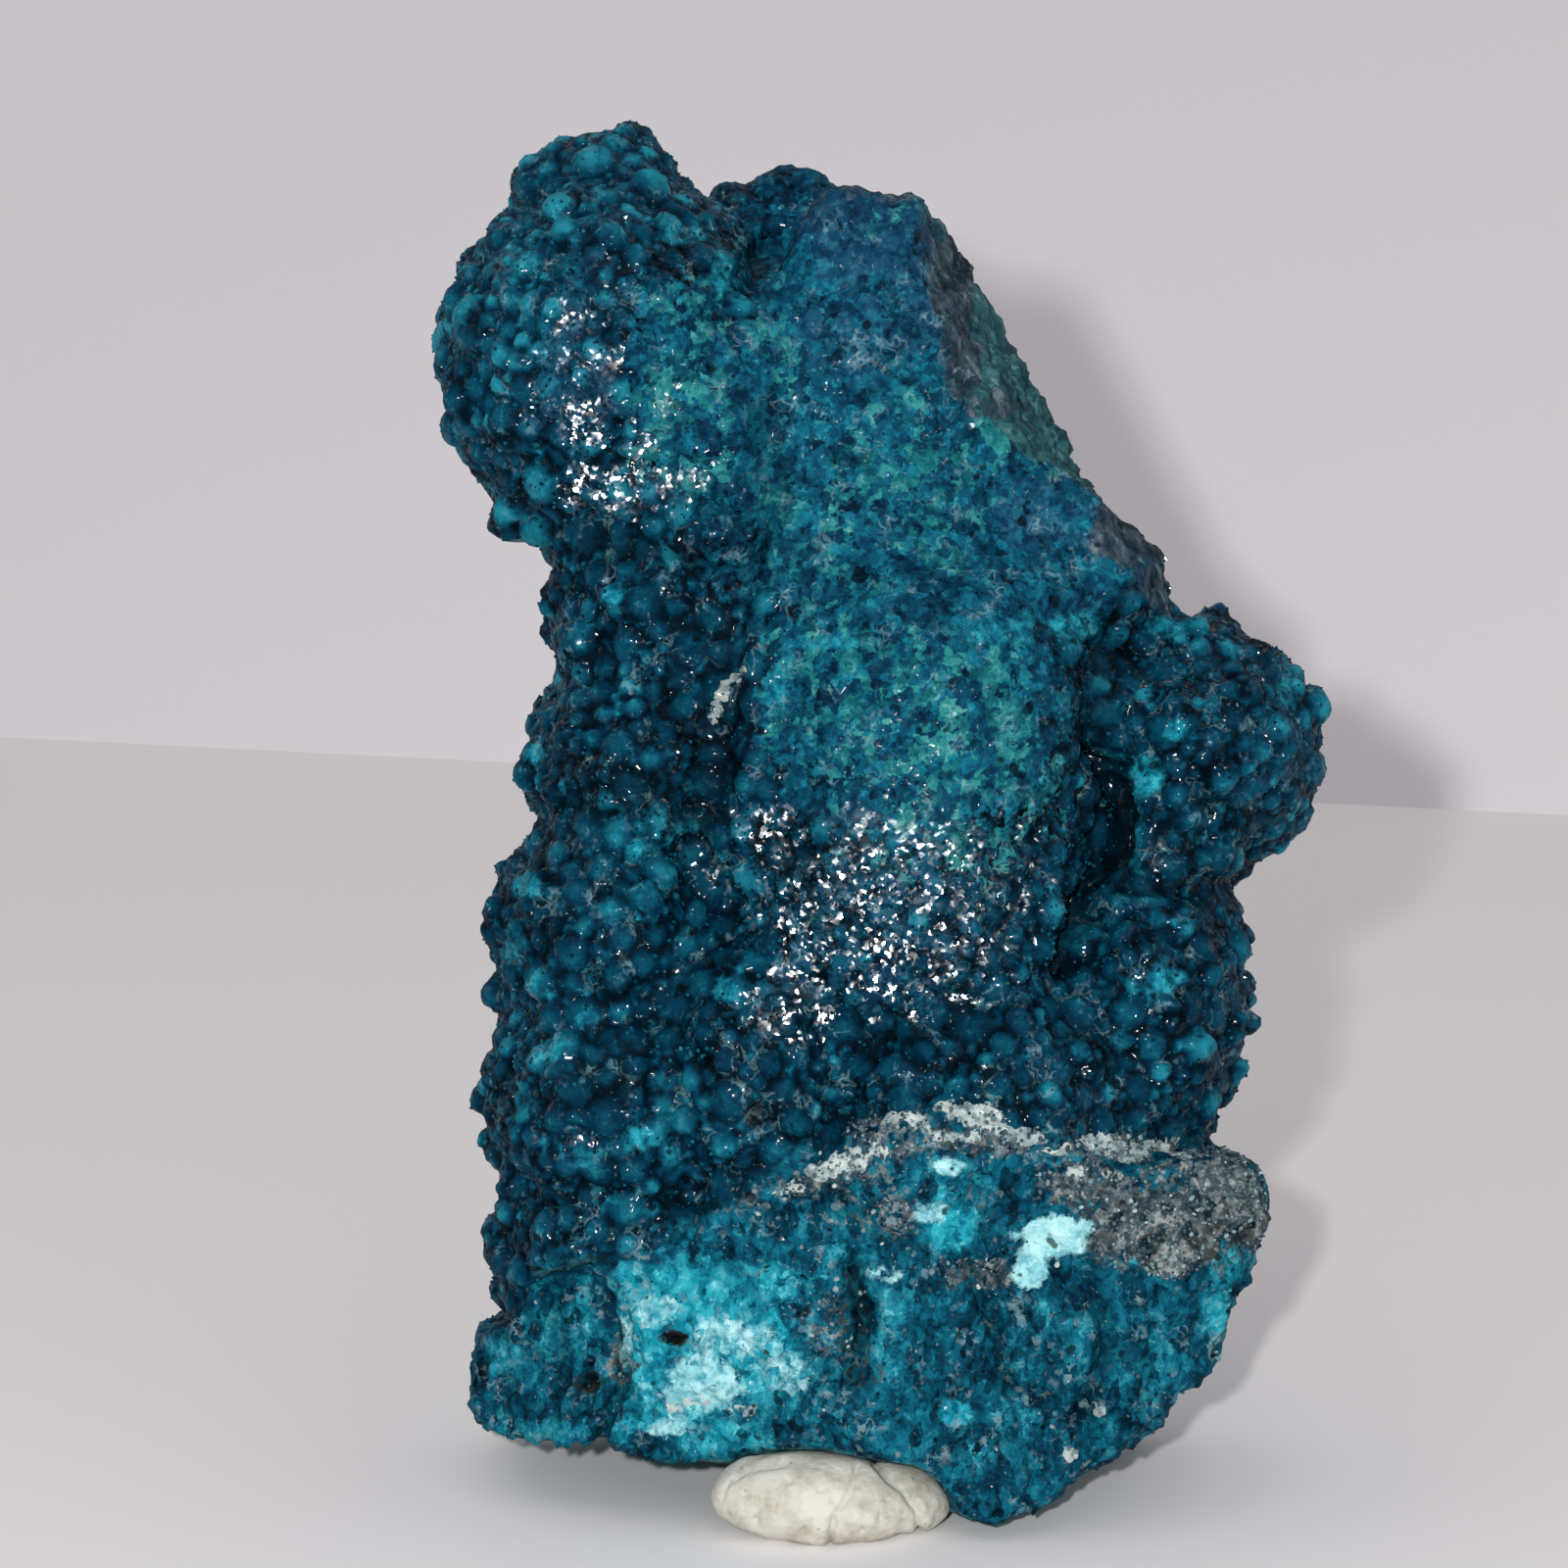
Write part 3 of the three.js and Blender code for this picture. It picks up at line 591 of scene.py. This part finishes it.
# Mounting putty: pinched off, rolled between the fingers and pressed under the stone
def buildPutty(stone):
    putty = copyOfNode("putty_lump", "putty")
    form = bmesh.new()
    form.from_mesh(putty.data)
    for at, size, tip in puttyForm["pinches"]:
        turn = Matrix.Translation(at) @ Matrix.Rotation(math.radians(tip), 4, "Y") @ Matrix.Diagonal((*size, 1))
        bmesh.ops.create_icosphere(form, subdivisions=4, radius=1, matrix=turn)
    form.to_mesh(putty.data)
    form.free()
    applyModifiers(
        putty,
        ("REMESH", {"mode": "VOXEL", "voxel_size": puttyForm["voxel"]}),
        ("SMOOTH", {"factor": 0.5, "iterations": 14}),
    )
    mesh = putty.data
    points = pointsOf(mesh)
    normals = normalsOf(mesh)
    pixels = toPixels(toFace(points * mm))
    lift = 0.10 * noiseAt(points, 1.3, 20) + 0.022 * noiseAt(points, 0.45, 21) + 0.006 * noiseAt(points, 0.12, 22)
    for line, width, depth in puttyForm["lines"]:
        lift -= depth * np.exp(-(nearLine(pixels, line) / width) ** 2)
    for x, y, size in puttyForm["pits"]:
        lift -= puttyForm["pitDepth"] * np.exp(-(np.hypot(pixels[:, 0] - x, pixels[:, 1] - y) / size) ** 2)
    moved = points + normals * (lift + puttyForm["swell"])[:, None]

    # It is pressed up against the stone, so the gap between the two solids closes
    skin = BVHTree.FromObject(stone, bpy.context.evaluated_depsgraph_get())
    reach = puttyForm["clings"]
    for i, p in enumerate(moved):
        hit, _, _, away = skin.find_nearest(Vector(p) * mm)
        if away < reach * mm:
            moved[i] += (np.array(hit) / mm - p) * (1 - away / mm / reach) * puttyForm["clingShare"]
    moved[:, 2] = np.maximum(moved[:, 2], 0)
    setPoints(mesh, moved)
    mesh.transform(Matrix.Scale(mm, 4))
    mesh.shade_smooth()
    print("putty", len(mesh.polygons), "faces")
    return putty


def newMaterial(name):
    material = bpy.data.materials.new(name)
    material.use_nodes = True
    material.node_tree.nodes.clear()
    return material, material.node_tree


# Adds a node with its settings; inputs maps a socket's name or number to a value or to another node's output
def addNode(tree, kind, settings=None, inputs=None):
    node = tree.nodes.new(kind)
    for key, value in (settings or {}).items():
        setattr(node, key, value)
    for key, value in (inputs or {}).items():
        if isinstance(value, bpy.types.NodeSocket):
            tree.links.new(value, node.inputs[key])
        else:
            node.inputs[key].default_value = value
    return node


def mixColours(tree, share, first, second):
    return addNode(tree, "ShaderNodeMix", {"data_type": "RGBA"}, {0: share, 6: first, 7: second}).outputs[2]


def maths(tree, operation, *values, clamp=False):
    settings = {"operation": operation, "use_clamp": clamp}
    return addNode(tree, "ShaderNodeMath", settings, dict(enumerate(values))).outputs[0]


def vectorMaths(tree, operation, inputs):
    return addNode(tree, "ShaderNodeVectorMath", {"operation": operation}, inputs).outputs[0]


def ramp(tree, value, stops):
    node = addNode(tree, "ShaderNodeValToRGB", None, {0: value})
    elements = node.color_ramp.elements
    while len(elements) < len(stops):
        elements.new(0.5)
    for element, (place, colour) in zip(elements, stops):
        element.position = place
        element.color = linear(colour)
    return node.outputs[0]


# Adds patterns up, each times its share
def summed(tree, offset, *parts):
    total = offset
    for pattern, share in parts:
        total = maths(tree, "MULTIPLY_ADD", pattern, share, total)
    return total


# Plain noise; its lumps are so many mm wide, and object coordinates are metres
def noiseNode(tree, where, size, detail=2.0, roughness=0.5):
    sockets = {"Vector": where, "Scale": 1 / (size * mm), "Detail": detail, "Roughness": roughness}
    return addNode(tree, "ShaderNodeTexNoise", None, sockets).outputs


# Irregular cells that are so many mm wide
def cellsNode(tree, where, size):
    sockets = {"Vector": where, "Scale": 1 / (size * mm)}
    return addNode(tree, "ShaderNodeTexVoronoi", {"feature": "F1"}, sockets).outputs


# Puts a finish on the material, as one shader
def finishWith(tree, finish):
    shader = addNode(tree, "ShaderNodeBsdfPrincipled", None, finish)
    addNode(tree, "ShaderNodeOutputMaterial", None, {"Surface": shader.outputs[0]})


# Turns a soft mask into a patch with a ragged edge: noise eats into it and soft sets how crisp the edge is
def ragged(tree, mask, pattern, eaten=0.9, soft=0.18):
    both = maths(tree, "MULTIPLY_ADD", pattern, eaten, mask)
    return maths(tree, "MULTIPLY_ADD", both, 1 / soft, 0.5 - (0.5 + eaten / 2) / soft, clamp=True)


# The way that most faces of the thick druse look: almost straight out of the stone's face
def flashWay():
    ahead, foot = fromFace([(-0.03, -1, 0.02), (0, 0, 0)])
    return Vector(ahead - foot).normalized()


# Dark to light, with the place of each tone in its pattern
stoneLooks = {
    "crust": [(0.12, "#000910"), (0.30, "#001b2a"), (0.48, "#00334a"), (0.66, "#065066"), (0.84, "#1c8093")],
    "granular": [(0.10, "#011d30"), (0.30, "#04364e"), (0.50, "#0a5069"), (0.68, "#0f7086"), (0.84, "#2c8a92"),
                 (0.97, "#6fb3b0")],
    "blueTop": [(0.10, "#06263f"), (0.32, "#0e3c5a"), (0.54, "#1b4f69"), (0.76, "#2f6a80"), (0.95, "#5b939d")],
    "green": [(0.15, "#053f4d"), (0.40, "#176a70"), (0.64, "#358d8a"), (0.92, "#84bcae")],
    "bright": [(0.15, "#064c61"), (0.45, "#0f7b92"), (0.85, "#35b3c2")],
    "broken": [(0.12, "#000f18"), (0.28, "#012636"), (0.46, "#054258"), (0.64, "#0b677e"), (0.82, "#2c8c9a"),
               (0.95, "#8ab4b8")],
    "turquoise": [(0.08, "#053544"), (0.26, "#0a6a80"), (0.46, "#1690a6"), (0.66, "#35adbc"), (0.84, "#7fd3d8"),
                  (0.96, "#c4eeec")],
    "grey": [(0.14, "#081218"), (0.32, "#1f2e36"), (0.48, "#485458"), (0.64, "#7a8080"), (0.84, "#b3b9b5")],
    "pale": [(0.10, "#3f8a97"), (0.30, "#76bcc6"), (0.50, "#a0dce1"), (0.80, "#c4f2f2")],
    "white": [(0.20, "#5d7176"), (0.42, "#94a5a6"), (0.62, "#bcc8c5"), (0.85, "#dbe0da")],
    "slate": [(0.15, "#131f2a"), (0.40, "#2a3a46"), (0.62, "#435460"), (0.90, "#6c7b80")],
    "back": [(0.12, "#123039"), (0.36, "#2c5960"), (0.58, "#468489"), (0.84, "#93b0ab")],
    "brown": [(0.20, "#0a1012"), (0.50, "#1e2626"), (0.80, "#4a4d47")],
    "slabSide": [(0.10, "#122f3b"), (0.32, "#244852"), (0.52, "#33646a"), (0.72, "#4f7f80"), (0.92, "#86a39a")],
}


# Copper silicate and carbonate grown in beads, under a thin clear quartz druse:
# deep glassy blue-green with bright points, dull and crumbly where it is broken
def stoneMaterial():
    material, tree = newMaterial("quartz-skinned copper crust")
    place = addNode(tree, "ShaderNodeTexCoord").outputs["Object"]
    spread = {name: addNode(tree, "ShaderNodeAttribute", {"attribute_name": name}).outputs["Fac"]
              for name in (*zones, "beadTop", "beadTone", "broken", "back", "slabSide", "paintedHollowShade")}

    # Plain noise keeps close to its middle, so it is stretched
    def noiseTexture(size, detail=4.0, roughness=0.6, where=place, stretch=2.1):
        plain = noiseNode(tree, where, size, detail, roughness)[0]
        return maths(tree, "MULTIPLY_ADD", plain, stretch, 0.5 - 0.5 * stretch, clamp=True)

    # Mineral grains: cells that each have a colour of their own, with edges that wander by so many mm
    def grainCells(size, wander, swirl, where=place):
        stray = noiseNode(tree, where, swirl)["Color"]
        shifted = vectorMaths(tree, "MULTIPLY_ADD", {0: stray, 1: (wander * mm,) * 3, 2: where})
        return cellsNode(tree, shifted, size)["Color"]

    # Three tones for each cell
    def tonesOf(cells):
        return addNode(tree, "ShaderNodeSeparateColor", None, {0: cells}).outputs

    # Lays one mineral over what is there, where its mask says; a pattern gives the mask a ragged edge
    def lay(under, name, tones, pattern=None, eaten=0.9, soft=0.18):
        mask = spread[name] if pattern is None else ragged(tree, spread[name], pattern, eaten, soft)
        return mixColours(tree, mask, under, ramp(tree, tones, stoneLooks[name]))

    cloud = noiseTexture(2.6)
    medium = noiseTexture(1.1)
    fine = noiseTexture(0.42, 5.0, 0.68)
    coarseCells = tonesOf(grainCells(0.50, 0.9, 0.45))
    fineCells = tonesOf(grainCells(0.24, 0.45, 0.22))

    # Crust between and on the beads: painted shade, darkest in the gaps and lifting toward each bead's top, and each
    # bead of its own tone
    beadPaint = maths(tree, "POWER", spread["beadTone"], 3.0)
    rise = summed(tree, -0.12, (spread["beadTop"], 0.34), (beadPaint, 0.30), (fine, 0.22), (medium, 0.20),
                  (cloud, 0.22), (spread["light"], 0.14))
    colour = ramp(tree, rise, stoneLooks["crust"])

    # Granular slab and dome: crisp grains of many tones
    tone = summed(tree, -0.12, (fine, 0.26), (coarseCells[0], 0.34), (fineCells[0], 0.30), (medium, 0.16))
    bluePattern = summed(tree, 0, (coarseCells[1], 0.5), (medium, 0.5))
    greenPattern = summed(tree, 0, (coarseCells[2], 0.5), (fineCells[1], 0.25), (medium, 0.25))
    colour = lay(colour, "granular", tone, fine)
    colour = lay(colour, "blueTop", tone, bluePattern, 0.9, 0.3)
    colour = lay(colour, "green", tone, greenPattern, 1.0, 0.12)

    # Broken base: splinters that lean down to the right, with turquoise shards and grey dust
    turned = addNode(tree, "ShaderNodeMapping", None, {
        "Vector": place,
        "Rotation": (0, math.radians(28), 0),
        "Scale": (1.0, 1.0, 0.6),
    }).outputs[0]
    streak = noiseTexture(0.85, 5.0, 0.70, turned, 2.6)
    splinters = tonesOf(grainCells(0.42, 0.5, 0.4, turned))
    brokenTone = summed(tree, -0.11, (streak, 0.30), (fine, 0.20), (cloud, 0.20), (splinters[0], 0.28),
                        (fineCells[2], 0.22))
    patchy = summed(tree, 0, (splinters[1], 0.35), (streak, 0.40), (fineCells[0], 0.25))
    shards = summed(tree, -0.06, (fineCells[2], 0.34), (splinters[0], 0.30), (fine, 0.26), (streak, 0.20))
    colour = lay(colour, "broken", brokenTone)
    colour = lay(colour, "turquoise", shards, patchy, 0.9, 0.62)
    dusty = maths(tree, "MULTIPLY", ramp(tree, fineCells[1], [(0.80, "#000000"), (0.84, "#ffffff")]),
                  maths(tree, "MULTIPLY_ADD", medium, 3.0, -1.4, clamp=True))
    dusty = maths(tree, "MULTIPLY", dusty, maths(tree, "MULTIPLY", spread["broken"], 0.7))
    colour = mixColours(tree, dusty, colour, linear("#7f9ca2"))
    colour = lay(colour, "bright", fine, fine, 0.5, 0.8)

    # Grey matrix, the slab's broken side, slate and the back, then the brown and the pale minerals over them
    greyTone = summed(tree, -0.10, (fine, 0.30), (fineCells[0], 0.28), (coarseCells[0], 0.26), (medium, 0.36))
    chunks = summed(tree, 0, (coarseCells[2], 0.5), (fine, 0.5))
    crumbly = summed(tree, 0, (fineCells[1], 0.4), (fine, 0.6))
    colour = lay(colour, "grey", greyTone, crumbly, 1.1, 0.30)
    colour = lay(colour, "slabSide", brokenTone)
    colour = lay(colour, "slate", streak, streak, 0.8, 0.4)
    colour = lay(colour, "back", brokenTone)
    colour = lay(colour, "brown", fine, crumbly, 0.7, 0.35)
    colour = lay(colour, "pale", greyTone, crumbly, 0.8, 0.4)
    colour = lay(colour, "white", greyTone, chunks, 0.8, 0.12)

    # Thin pale threads of quartz and painted rim reflections at the feet of some beads, then black specks of
    # manganese and painted shade in the creases and pits
    paintedRimSheen = ramp(tree, spread["beadTop"], [(0.04, "#000000"), (0.14, "#ffffff"), (0.26, "#ffffff"), (0.38, "#000000")])
    thread = ramp(tree, noiseTexture(0.9, 2.0, 0.5, stretch=1.0),
                  [(0.470, "#000000"), (0.490, "#ffffff"), (0.510, "#ffffff"), (0.530, "#000000")])
    some = maths(tree, "MULTIPLY_ADD", medium, 4.0, -2.4, clamp=True)
    threadsAndRimSheen = maths(tree, "MULTIPLY", summed(tree, 0, (paintedRimSheen, 0.4), (thread, 0.6)), some)
    colour = mixColours(tree, maths(tree, "MULTIPLY", threadsAndRimSheen, 0.75), colour, linear("#7fa6ae"))
    speck = ramp(tree, noiseTexture(0.9, 2.0, 0.5), [(0.86, "#000000"), (0.94, "#ffffff")])
    # Painted shade: the creases and pits darken towards near black, with the manganese specks
    hollowShadeShare = maths(tree, "MULTIPLY", spread["paintedHollowShade"], 0.85)
    speckAndHollowShade = maths(tree, "MAXIMUM", maths(tree, "MULTIPLY", speck, 0.8), hollowShadeShare)
    colour = mixColours(tree, speckAndHollowShade, colour, linear("#010a10"))

    # The druse: quartz faces about 0.2 mm wide, a little coarser than real, each a plane with a slope of its own.
    # Those of a thick druse grew side by side and flash together, in clumps
    facets = grainCells(0.19, 0.35, 0.3)
    dull = maths(tree, "MAXIMUM", maths(tree, "MULTIPLY", spread["broken"], 0.70), spread["back"])
    dull = maths(tree, "MAXIMUM", dull, maths(tree, "MULTIPLY", spread["granular"], 0.55))
    for name in ("grey", "pale", "slabSide", "slate"):
        dull = maths(tree, "MAXIMUM", dull, spread[name])
    glassy = maths(tree, "MULTIPLY_ADD", spread["druse"], 0.9, 0.7)
    gloss = maths(tree, "MULTIPLY_ADD", dull, -0.9, glassy, clamp=True)
    clearness = maths(tree, "POWER", tonesOf(facets)[2], 3.0)
    gloss = maths(tree, "MULTIPLY", gloss, maths(tree, "MULTIPLY_ADD", clearness, 0.94, 0.06))

    slope = vectorMaths(tree, "SUBTRACT", {0: facets, 1: (0.5, 0.5, 0.5)})
    clump = noiseTexture(0.9, 3.0, 0.6, stretch=2.6)
    thick = ragged(tree, spread["druse"], clump, 0.8, 0.5)
    unruly = summed(tree, 0.60, (clump, -0.10), (thick, -0.36))
    tilted = vectorMaths(tree, "SCALE", {0: slope, "Scale": unruly})
    outward = addNode(tree, "ShaderNodeNewGeometry").outputs["Normal"]
    flashing = addNode(tree, "ShaderNodeMix", {"data_type": "VECTOR"},
                       {0: maths(tree, "MULTIPLY", thick, 0.85), 4: outward, 5: tuple(flashWay())})
    facing = vectorMaths(tree, "ADD", {0: flashing.outputs[1], 1: tilted})
    facing = vectorMaths(tree, "NORMALIZE", {0: facing})
    roughBump = addNode(tree, "ShaderNodeBump", None, {"Strength": 0.7, "Distance": 0.12 * mm, "Height": fine})
    finishWith(tree, {
        "Base Color": colour,
        "Roughness": 0.6,
        "IOR": 1.5,
        "Specular IOR Level": 0.04,
        "Coat Weight": gloss,
        "Coat Roughness": 0.14,
        "Coat IOR": 1.54,
        "Normal": roughBump.outputs[0],
        "Coat Normal": facing,
    })
    return material


# Clear quartz over the blue-green stone, which lends it its colour: small bright faces
def quartzMaterial():
    material, tree = newMaterial("drusy quartz over copper crust")
    tone = addNode(tree, "ShaderNodeAttribute", {"attribute_name": "tone"}).outputs["Fac"]
    place = addNode(tree, "ShaderNodeTexCoord").outputs["Object"]
    mixed = summed(tree, 0, (noiseNode(tree, place, 2.5)[0], 0.4), (tone, 0.6))
    colour = ramp(tree, mixed, [(0.1, "#001c29"), (0.5, "#04384d"), (0.8, "#0f5d70"), (0.97, "#5fa3ab")])
    finishWith(tree, {
        "Base Color": colour,
        "Roughness": 0.14,
        "IOR": 1.54,
        "Specular IOR Level": 0.5,
    })
    return material


# Crumbs of quartz, clay and pale copper mineral: chalky, from grey to off-white
def crumbMaterial():
    material, tree = newMaterial("chalky mineral crumbs")
    tone = addNode(tree, "ShaderNodeAttribute", {"attribute_name": "tone"}).outputs["Fac"]
    colour = ramp(tree, tone, [(0.0, "#24343b"), (0.4, "#415760"), (0.75, "#667c82"), (0.93, "#90a5a7"),
                               (1.0, "#bccac8")])
    finishWith(tree, {
        "Base Color": colour,
        "Roughness": 0.6,
        "IOR": 1.5,
        "Specular IOR Level": 0.3,
    })
    return material


# Mounting putty, a chalk-filled soft rubber kneaded by hand: matt and off-white with a faint waxy sheen
def puttyMaterial():
    material, tree = newMaterial("kneaded mounting putty")
    place = addNode(tree, "ShaderNodeTexCoord").outputs["Object"]
    cloud = noiseNode(tree, place, 1.2, 7.0, 0.66)[0]
    specks = cellsNode(tree, place, 0.6)[0]
    colour = ramp(tree, cloud, [(0.34, "#a5a192"), (0.46, "#c4c1b4"), (0.58, "#d7d4c9")])
    dust = ramp(tree, specks, [(0.06, "#ffffff"), (0.13, "#000000")])
    colour = mixColours(tree, maths(tree, "MULTIPLY", dust, 0.55), colour, linear("#77735f"))
    grain = noiseNode(tree, place, 0.22, 4.0)[0]
    bump = addNode(tree, "ShaderNodeBump", None, {"Strength": 0.6, "Distance": 0.07 * mm, "Height": grain})
    finishWith(tree, {
        "Base Color": colour,
        "Roughness": 0.68,
        "IOR": 1.48,
        "Subsurface Weight": 0.08,
        "Subsurface Scale": 0.6 * mm,
        "Normal": bump.outputs[0],
    })
    return material


studio = {
    "floorColour": "#f8f5f5",
    "floorReach": 1.5,                   # metres to each side
    "cardColour": "#ece9eb",
    # Where the floor meets the card, and the card's top just past the picture's corners, in photo pixels
    "seam": [(-60, 749), (1660, 835)],
    "cardTop": [(-60, -30), (1660, -30)],
    "cardSlope": 45,                     # degrees
    "skyStrength": 0.69,                 # the room above
    "sideStrength": 0.09,                # the room at the level of the table
    "dimmed": 0.94,                      # share of both that is missing from reflections
    "wallGlow": 0.50,                    # the pale wall of the room behind the table
    # The flash beside the lens: watts, width in mm, and mm to the side of the lens and above it
    "flash": (0.46, 7, -14.7, 9),
}


def paperMaterial(name, colour):
    material, tree = newMaterial(name)
    place = addNode(tree, "ShaderNodeTexCoord").outputs["Object"]
    fibre = noiseNode(tree, place, 0.9, 3.0)[0]
    bump = addNode(tree, "ShaderNodeBump", None, {"Strength": 0.08, "Distance": 0.1 * mm, "Height": fibre})
    finishWith(tree, {
        "Base Color": linear(colour),
        "Roughness": 0.75,
        "Specular IOR Level": 0.3,
        "Normal": bump.outputs[0],
    })
    return material


# Where the line of sight through a photo pixel meets a plane, in the part's frame: the floor, if no other is given
def onPlane(pixel, foot=(0, 0, 0), facing=(0, 0, 1)):
    across, up = lensPlace()
    middle = photo["width"] / 2
    scale = photo["pixelsPerMm"]
    seen = (across + (pixel[0] - middle) / scale, 0, up + (middle - pixel[1]) / scale)
    lens, through = (Vector(spot) for spot in fromFace([(across, -photo["distance"], up), seen]))
    way = through - lens
    return lens + way * ((Vector(foot) - lens).dot(facing) / way.dot(facing))


def buildStudio():
    left, right = (onPlane(p) for p in studio["seam"])
    along = (right - left).normalized()
    outward = Vector((along.y, -along.x, 0))
    # The card leans back from the seam and only just fills the picture, so it is easy to look over from behind
    lean = math.radians(studio["cardSlope"])
    facing = outward * math.sin(lean) + Vector((0, 0, math.cos(lean)))
    top = [onPlane(p, left, facing) for p in studio["cardTop"]]
    floorMesh = bpy.data.meshes.new("floor")
    far = studio["floorReach"]
    floorMesh.from_pydata([(-far, -far, 0), (far, -far, 0), (far, far, 0), (-far, far, 0)], [], [(0, 1, 2, 3)])
    cardMesh = bpy.data.meshes.new("backdrop card")
    cardMesh.from_pydata([tuple(p) for p in (left, right, top[1], top[0])], [], [(0, 1, 2, 3)])
    floor = newObject("floor", floorMesh)
    card = newObject("backdrop card", cardMesh)
    floorMesh.materials.append(paperMaterial("matt table top", studio["floorColour"]))
    cardMesh.materials.append(paperMaterial("matt card", studio["cardColour"]))
    floor.visible_glossy = False  # the crust mirrors the pale room behind it at its rims, but not the bright table

    world = bpy.data.worlds.new("room")
    bpy.context.scene.world = world
    world.use_nodes = True
    tree = world.node_tree
    tree.nodes.clear()
    # Brighter overhead than at the sides, and dark to reflections, which in the photo come from the lamp alone,
    # but with a pale wall behind the table that lights the back and the rims of the stone
    way = addNode(tree, "ShaderNodeTexCoord").outputs["Generated"]
    up = addNode(tree, "ShaderNodeSeparateXYZ", None, {0: way}).outputs["Z"]
    lit = addNode(tree, "ShaderNodeMapRange", None, {
        "Value": up,
        "From Max": 0.8,
        "To Min": studio["sideStrength"],
        "To Max": studio["skyStrength"],
    }).outputs[0]
    mirrored = addNode(tree, "ShaderNodeLightPath").outputs["Is Glossy Ray"]
    strength = maths(tree, "MULTIPLY", lit, maths(tree, "MULTIPLY_ADD", mirrored, -studio["dimmed"], 1.0))
    behind = addNode(tree, "ShaderNodeVectorMath", {"operation": "DOT_PRODUCT"}, {0: way, 1: tuple(-outward)})
    walled = addNode(tree, "ShaderNodeMapRange", None, {
        "Value": behind.outputs["Value"],
        "From Min": -0.05,
        "From Max": 0.15,
    }).outputs[0]
    strength = maths(tree, "MULTIPLY", strength, maths(tree, "SUBTRACT", 1.0, walled))
    strength = maths(tree, "MULTIPLY_ADD", walled, studio["wallGlow"], strength)
    room = addNode(tree, "ShaderNodeBackground", None, {"Color": linear("#f6f4f8"), "Strength": strength})
    addNode(tree, "ShaderNodeOutputWorld", None, {"Surface": room.outputs[0]})


def buildFlash():
    across, up = lensPlace()
    power, width, side, above = studio["flash"]
    data = bpy.data.lights.new("flash", "AREA")
    data.shape = "DISK"
    data.size = width * mm
    data.energy = power
    flash = newObject("flash", data)
    place, target = fromFace([(across + side, -photo["distance"], up + above), (across, 0, up)])
    flash.location = place
    flash.rotation_euler = (Vector(target) - Vector(place)).to_track_quat("-Z", "Y").to_euler()


def buildCamera():
    across, up = lensPlace()
    data = bpy.data.cameras.new("camera")
    data.sensor_width = 36
    data.lens = 36 * photo["distance"] * photo["pixelsPerMm"] / photo["width"]
    data.clip_start = 0.01
    camera = newObject("camera", data)
    lens = Vector(fromFace([(across, -photo["distance"], up)])[0])
    aim = Vector(fromFace([(across, 0, up)])[0])
    camera.location = lens
    camera.rotation_euler = (aim - lens).to_track_quat("-Z", "Y").to_euler()
    bpy.context.scene.camera = camera


stone = buildStone()
quartzPoints = buildQuartz(stone)
crumbs = buildGrains(stone)
putty = buildPutty(stone)

stone.data.materials.append(stoneMaterial())
quartzPoints.data.materials.append(quartzMaterial())
crumbs.data.materials.append(crumbMaterial())
putty.data.materials.append(puttyMaterial())

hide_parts("malachite_stone")
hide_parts("putty_lump")
for piece, slotName in ((stone, "stone"), (quartzPoints, "stone"), (crumbs, "stone"), (putty, "putty")):
    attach(piece, "root")

buildStudio()
buildFlash()
buildCamera()
bpy.context.scene.view_settings.view_transform = "Standard"
print("studio set")
